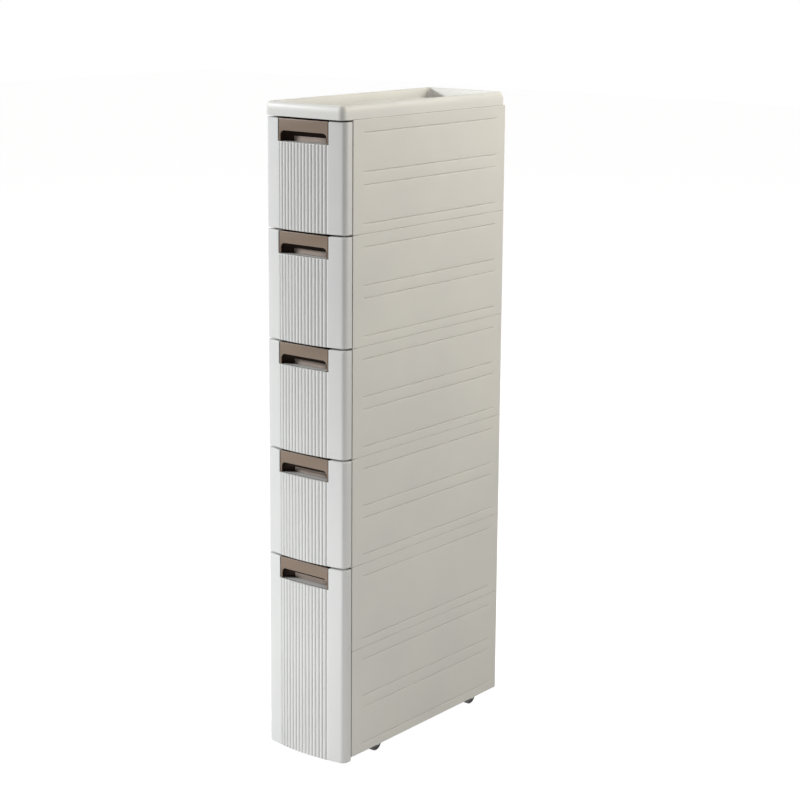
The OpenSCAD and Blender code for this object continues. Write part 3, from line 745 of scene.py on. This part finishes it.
def panel_grid(height, depth, lines):
    """Positions (along Y, along Z) of a panel's points from its front lower corner: close together at
    the round edges, where the seam's draw-back fades, at the lines and their ends, and doubled at each
    step of the inner face. Two upright beads stand near the back."""
    edge = np.array([0, 0.08, 0.2, 0.4, 0.65, 1.0]) * sizes().panel_radius
    w = sizes().line_width
    near = LINE_SHIFT + np.concatenate([w * np.linspace(-0.5, 0.5, 9),
                                        [-LIP_W, -LIP_W / 2, w * 0.75, w]])
    step = [FLANGE_T, FLANGE_T + STEP]
    z = np.concatenate([edge, height - edge, step, np.subtract(height, step)] + [q + near for q in lines])
    fade = [6.0, 9.0, 13.0, 17.0, 21.0]
    run_out = np.linspace(-0.5, 0.5, 5) * LINE_END
    beads = depth - np.array([1, 2, 3, 4]) * FLANGE_T
    beside_bead = [depth - 3 * FLANGE_T + STEP, depth - 4 * FLANGE_T - STEP]
    rib = np.array([-RIB_HALF, STEP - RIB_HALF, RIB_HALF - STEP, RIB_HALF])
    y = np.concatenate([edge, depth - edge, step, fade, FIELD_FRONT + run_out,
                        depth - FIELD_BACK + run_out, beads, beside_bead,
                        depth / 3 + rib, 2 * depth / 3 + rib])
    return spread(y, WIDEST_Y), spread(z, WIDEST_Z)


def panel_shells(side, z0, z1):
    """Closed shell between two height fields over (y, z). The outer face has rounded edges and, along
    each pressed line, a round-bottomed dent that runs out at both ends. The inner face has the flange and
    the upright ribs."""
    h, d = z1 - z0, BACK_Y - EDGE_Y
    r = sizes().panel_radius
    w = sizes().line_width
    lines = panel_lines(h)
    Y, Z = np.meshgrid(*panel_grid(h, d, lines))
    edge_distance = np.minimum(np.minimum(Y, d - Y), np.minimum(Z, h - Z))
    q = np.clip(edge_distance, 0, r)
    outer = HALF_W - (r - np.sqrt(np.maximum(r * r - (r - q) ** 2, 0)))
    ends = (smooth((Y - FIELD_FRONT) / LINE_END + 0.5)
            * smooth((d - FIELD_BACK - Y) / LINE_END + 0.5))
    for line in lines:
        t = Z - line - LINE_SHIFT
        groove = smooth((0.5 - np.abs(t) / w) / 0.4)
        lip = np.where(t < 0, np.clip(1 + t / LIP_W, 0, 1), smooth(1 - t / w))
        outer -= (sizes().line_depth * groove + sizes().lip_depth * lip) * ends
    flange = (Z <= FLANGE_T) | (Z >= h - FLANGE_T) | (Y <= FLANGE_T)
    for near, far in ((1, 2), (3, 4)):
        flange |= (Y >= d - far * FLANGE_T) & (Y <= d - near * FLANGE_T)
    rib = (np.abs(Y - d / 3) <= RIB_HALF) | (np.abs(Y - 2 * d / 3) <= RIB_HALF)
    inner = HALF_W - np.where(flange, FLANGE_D, np.where(rib, RIB_D, WALL_D))
    # the upper and lower edge draw back a little, more towards the front, so that the joint shows
    back_off = SEAM_BACK + SEAM_FRONT * np.exp(-((Y / SEAM_REACH) ** 2))
    Z = Z + back_off * (np.clip(1 - Z / FLANGE_T, 0, 1) - np.clip(1 - (h - Z) / FLANGE_T, 0, 1))
    points = [np.stack([side * x, Y + EDGE_Y, Z + z0], -1).reshape(-1, 3) for x in (outer, inner)]
    rows, columns = Y.shape
    faces = np.array(grid_faces(rows, columns, False))
    n = rows * columns
    loop = np.concatenate([np.arange(columns), np.arange(1, rows) * columns + columns - 1,
                           (rows - 1) * columns + np.arange(columns - 2, -1, -1),
                           np.arange(rows - 2, 0, -1) * columns])
    after = np.roll(loop, -1)
    rim = np.stack([loop, after, after + n, loop + n], 1)
    return [(np.concatenate(points), np.concatenate([faces, n + faces[:, ::-1], rim]).tolist(), 0)]


class TOWER_OT_panels(bpy.types.Operator):
    """Side panels with pressed lines and rounded edges"""

    bl_idname = "tower.panels"
    bl_label = "Side panels"

    def execute(self, context):
        for n in range(1, TIERS + 1):
            top = corners_of(f"back_panel_{n}")
            for side, word in ((1, "right"), (-1, "left")):
                add_piece(f"{word}_side_{n}", panel_shells(side, top[0][2], top[1][2]), "cabinet",
                          [cabinet_plastic()], [f"{word}_panel_{n}"], sharp=40)
        return {"FINISHED"}


# ------------------------------------------------------------------ pieces that keep their CAD shape


class TOWER_OT_carried(bpy.types.Operator):
    """Plastics for the pieces that keep their solid's shape"""

    bl_idname = "tower.carried"
    bl_label = "Bins, shelves, base and casters"

    def execute(self, context):
        for n in range(1, TIERS + 1):
            dress(f"back_panel_{n}", cabinet_plastic())
        for n in range(1, BAYS):
            dress(f"shelf_{n}", cabinet_plastic())
        dress("base", cabinet_plastic())
        for n in range(1, BAYS + 1):
            dress(f"drawer_bin_{n}", bin_plastic())
        for word in CORNERS:
            dress(f"fork_{word}", caster_plastic())
            dress(f"wheel_{word}", wheel_rubber())
            dress(f"axle_{word}", drawn_steel())
        return {"FINISHED"}


# ------------------------------------------------------------------ stage

# Camera: focal length and image width in pixels, sensor in millimetres, angles in degrees, place in
# metres, and upward shift as a share of the image's width
FOCAL_PIXELS, IMAGE_PIXELS, SENSOR_MM = 1949.04, 800.0, 36.0
CAMERA_AZIMUTH, CAMERA_PITCH, CAMERA_ROLL = 38.25494, 11.29665, 0.44063
CAMERA_PLACE = (2.17928, -2.51943 + EDGE_Y * MM, 1.45124)
CAMERA_SHIFT = -0.08125
# Floor: half its width in metres, its grey under the lamps and its glow where it is seen
FLOOR_HALF, FLOOR_GREY, FLOOR_GLOW = 14.0, 0.45, 0.955
WORLD_COLOUR, WORLD_LEVEL = (1.0, 0.975, 0.93, 1), 0.07
# Each lamp's name, place, aim, width and height in metres, power in watts and colour
LAMPS = (
    ("key", (-3.5, -2.74, 2.57), (0.0, -0.2, 0.65), 0.8, 0.4, 150.0, (0.955, 0.975, 1.0)),
    ("fill", (3.9, 2.3, 1.2), (0.0, 0.0, 0.5), 1.6, 1.6, 47.0, (1.0, 0.975, 0.985)),
    ("near", (1.1, 0.9, 1.8), (0.0, 0.0, 1.0), 0.5, 0.5, 10.0, (1.0, 0.95, 0.82)),
    ("over", (0.6, -0.8, 3.5), (0.0, 0.0, 0.9), 2.0, 2.0, 24.0, (1.0, 0.985, 0.96)),
    ("low", (0.1, -1.2, 0.12), (0.0, -0.2, 0.3), 0.9, 0.25, 4.0, (0.97, 0.985, 1.0)),
)


def lamp(name, place, target, width, height, power, colour):
    """Rectangular lamp at place that faces target."""
    data = bpy.data.lights.new(name, "AREA")
    data.shape = "RECTANGLE"
    data.size, data.size_y = width, height
    data.energy = power
    data.color = colour
    made = bpy.data.objects.new(name, data)
    bpy.context.scene.collection.objects.link(made)
    made.location = place
    made.rotation_euler = (Vector(target) - Vector(place)).to_track_quat("-Z", "Y").to_euler()


def aimed_camera(scene):
    """Camera at CAMERA_PLACE, turned by its azimuth about Z, tipped down by its pitch and rolled."""
    data = bpy.data.cameras.new("camera")
    data.sensor_width = SENSOR_MM
    data.lens = FOCAL_PIXELS * SENSOR_MM / IMAGE_PIXELS
    data.shift_y = CAMERA_SHIFT
    data.clip_start, data.clip_end = 0.05, 60.0
    camera = bpy.data.objects.new("camera", data)
    scene.collection.objects.link(camera)
    azimuth, pitch, roll = (math.radians(a) for a in (CAMERA_AZIMUTH, CAMERA_PITCH, CAMERA_ROLL))
    ahead = Vector((-math.sin(azimuth) * math.cos(pitch), math.cos(azimuth) * math.cos(pitch),
                    -math.sin(pitch)))
    right = Vector((math.cos(azimuth), math.sin(azimuth), 0.0))
    up = right.cross(ahead)
    side = math.cos(roll) * right + math.sin(roll) * up
    above = -math.sin(roll) * right + math.cos(roll) * up
    turn = Matrix((side, above, -ahead)).transposed().to_4x4()
    camera.matrix_world = Matrix.Translation(CAMERA_PLACE) @ turn
    scene.camera = camera


def seen_directly(nodes, links):
    """Output that is 1 on rays from the camera, off shiny faces and through clear ones, and else 0."""
    rays = nodes.new("ShaderNodeLightPath")
    camera_or_glossy = nodes.new("ShaderNodeMath")
    camera_or_glossy.operation = "MAXIMUM"
    any_of_them = nodes.new("ShaderNodeMath")
    any_of_them.operation = "MAXIMUM"
    links.new(rays.outputs["Is Camera Ray"], camera_or_glossy.inputs[0])
    links.new(rays.outputs["Is Glossy Ray"], camera_or_glossy.inputs[1])
    links.new(camera_or_glossy.outputs[0], any_of_them.inputs[0])
    links.new(rays.outputs["Is Transmission Ray"], any_of_them.inputs[1])
    return any_of_them.outputs[0]


def floor_paper():
    """Matt grey paper that keeps the shadows, with a glow that makes it white where it is seen."""
    paper = bpy.data.materials.new("pale_floor")
    paper.use_nodes = True
    nodes, links = paper.node_tree.nodes, paper.node_tree.links
    nodes.clear()
    matt = nodes.new("ShaderNodeBsdfDiffuse")
    matt.inputs["Color"].default_value = (FLOOR_GREY, FLOOR_GREY, FLOOR_GREY, 1)
    strength = nodes.new("ShaderNodeMath")
    strength.operation = "MULTIPLY"
    strength.inputs[1].default_value = FLOOR_GLOW
    glow = nodes.new("ShaderNodeEmission")
    both = nodes.new("ShaderNodeAddShader")
    out = nodes.new("ShaderNodeOutputMaterial")
    links.new(seen_directly(nodes, links), strength.inputs[0])
    links.new(strength.outputs[0], glow.inputs["Strength"])
    links.new(matt.outputs[0], both.inputs[0])
    links.new(glow.outputs[0], both.inputs[1])
    links.new(both.outputs[0], out.inputs["Surface"])
    return paper


def pale_floor(scene):
    """Square floor at the height 0."""
    s = FLOOR_HALF
    mesh = bpy.data.meshes.new("floor")
    mesh.from_pydata([(-s, -s, 0), (s, -s, 0), (s, s, 0), (-s, s, 0)], [], [(0, 1, 2, 3)])
    mesh.materials.append(floor_paper())
    floor = bpy.data.objects.new("floor", mesh)
    scene.collection.objects.link(floor)


def studio_world(scene):
    """World that lights softly and is white where it is seen."""
    world = bpy.data.worlds.new("studio")
    scene.world = world
    world.use_nodes = True
    nodes, links = world.node_tree.nodes, world.node_tree.links
    nodes.clear()
    soft = nodes.new("ShaderNodeBackground")
    soft.inputs["Color"].default_value = WORLD_COLOUR
    soft.inputs["Strength"].default_value = WORLD_LEVEL
    white = nodes.new("ShaderNodeBackground")
    white.inputs["Color"].default_value = (1, 1, 1, 1)
    white.inputs["Strength"].default_value = 1.0
    mix = nodes.new("ShaderNodeMixShader")
    out = nodes.new("ShaderNodeOutputWorld")
    links.new(seen_directly(nodes, links), mix.inputs["Fac"])
    links.new(soft.outputs[0], mix.inputs[1])
    links.new(white.outputs[0], mix.inputs[2])
    links.new(mix.outputs[0], out.inputs["Surface"])


class TOWER_OT_stage(bpy.types.Operator):
    """Pale floor, soft lamps, world and camera"""

    bl_idname = "tower.stage"
    bl_label = "Stage"

    def execute(self, context):
        scene = context.scene
        scene.view_settings.view_transform = "Standard"
        aimed_camera(scene)
        pale_floor(scene)
        studio_world(scene)
        for values in LAMPS:
            lamp(*values)
        # the low lamp stands in front of the drawers and may come into view
        bpy.data.objects["low"].visible_camera = False
        return {"FINISHED"}


class TOWER_PT_panel(bpy.types.Panel):
    """Sizes and colours of the tower, and a button for each group of pieces"""

    bl_idname = "TOWER_PT_panel"
    bl_label = "Slim drawer tower"
    bl_space_type = "VIEW_3D"
    bl_region_type = "UI"
    bl_category = "Tower"

    def draw(self, context):
        for group in (context.scene.tower_sizes, context.scene.tower_colours):
            box = self.layout.box()
            for name in group.__annotations__:
                box.prop(group, name)
        for operator in OPERATORS:
            self.layout.operator(operator.bl_idname)


OPERATORS = (TOWER_OT_stage, TOWER_OT_fronts, TOWER_OT_handles, TOWER_OT_lid, TOWER_OT_panels,
             TOWER_OT_carried)
CLASSES = (TOWER_PG_sizes, TOWER_PG_colours, *OPERATORS, TOWER_PT_panel)


def register():
    for c in CLASSES:
        bpy.utils.register_class(c)
    bpy.types.Scene.tower_sizes = bpy.props.PointerProperty(type=TOWER_PG_sizes)
    bpy.types.Scene.tower_colours = bpy.props.PointerProperty(type=TOWER_PG_colours)


def unregister():
    del bpy.types.Scene.tower_colours
    del bpy.types.Scene.tower_sizes
    for c in reversed(CLASSES):
        bpy.utils.unregister_class(c)


def main():
    register()
    bpy.ops.tower.stage()
    bpy.ops.tower.fronts()
    bpy.ops.tower.handles()
    bpy.ops.tower.lid()
    bpy.ops.tower.panels()
    bpy.ops.tower.carried()


if __name__ == "__main__":
    main()
